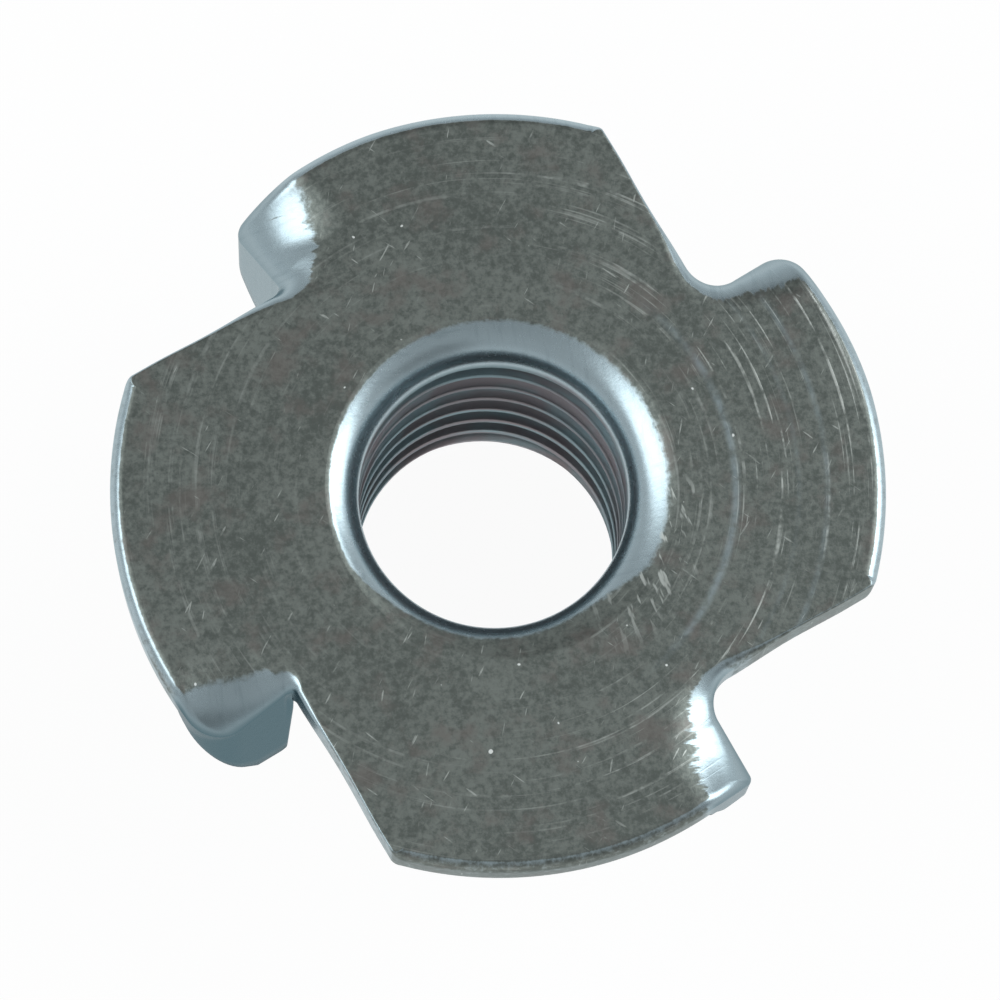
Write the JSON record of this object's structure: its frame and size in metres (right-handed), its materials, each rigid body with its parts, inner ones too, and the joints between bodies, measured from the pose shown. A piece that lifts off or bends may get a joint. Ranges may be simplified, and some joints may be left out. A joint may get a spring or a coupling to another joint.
{
  "type": "tee nut",
  "caption": "Pressed steel tee nut: a flat round flange with bent prongs around a drawn barrel that is threaded inside for a machine screw.",
  "frame": {"origin": "on the barrel's axis, at the level of the barrel's lower end, which the nut stands on", "axes": "+Z along the barrel's axis, out of the flange's flat outer face; +X to the right and +Y to the back, with the first slit leaving the rim 74.8 degrees from +X"},
  "size_m": [0.019, 0.019, 0.011],
  "materials": {
    "zinc_plated_steel": "zinc plated and blue passivated, satin as pressed"
  },
  "bodies": {
    "root": {"tee_nut": "zinc_plated_steel"}
  },
  "joints": []
}
